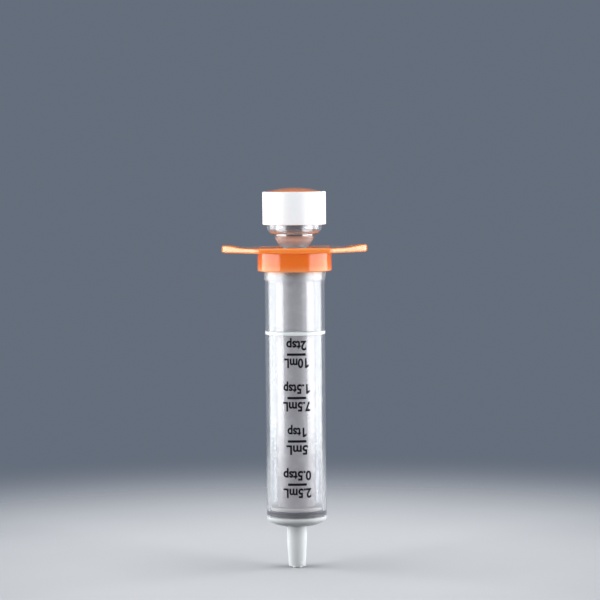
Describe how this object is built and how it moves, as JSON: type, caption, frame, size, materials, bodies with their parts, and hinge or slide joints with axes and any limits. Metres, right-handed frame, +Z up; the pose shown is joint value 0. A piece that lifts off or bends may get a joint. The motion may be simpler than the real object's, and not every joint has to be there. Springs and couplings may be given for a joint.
{
  "type": "oral syringe",
  "caption": "Oral dosing syringe with a clear graduated barrel, orange finger collar and white thumb cap on a sliding plunger.",
  "frame": {"origin": "centre of the nozzle's tip", "axes": "+Z up the syringe's axis from the nozzle to the thumb cap; the finger wings lie along X; the dose scale faces -Y"},
  "size_m": [0.043, 0.0238, 0.1127],
  "materials": {
    "clear_pp": "clear moulded polypropylene",
    "orange_pp": "translucent orange polypropylene, glossy",
    "milky_pp": "natural translucent polypropylene",
    "white_pp": "opaque white moulding",
    "seal_rubber": "dark smooth rubber"
  },
  "bodies": {
    "barrel": {"barrel": "clear_pp", "finger_collar": "orange_pp"},
    "seal": {"seal_ring": "seal_rubber"},
    "plunger": {"piston": "milky_pp", "plunger_tube": "milky_pp", "plunger_head": "milky_pp", "thumb_cap": "white_pp", "colour_disc": "orange_pp"}
  },
  "joints": [
    {"name": "plunger_slide", "type": "slide", "parent": "barrel", "child": "seal", "axis": [0, 0, 1], "range_m": [0, 0.051]},
    {"name": "plunger_turn", "type": "hinge", "parent": "seal", "child": "plunger", "pos_m": [0, 0, 0.0165], "axis": [0, 0, 1], "continuous": true}
  ]
}
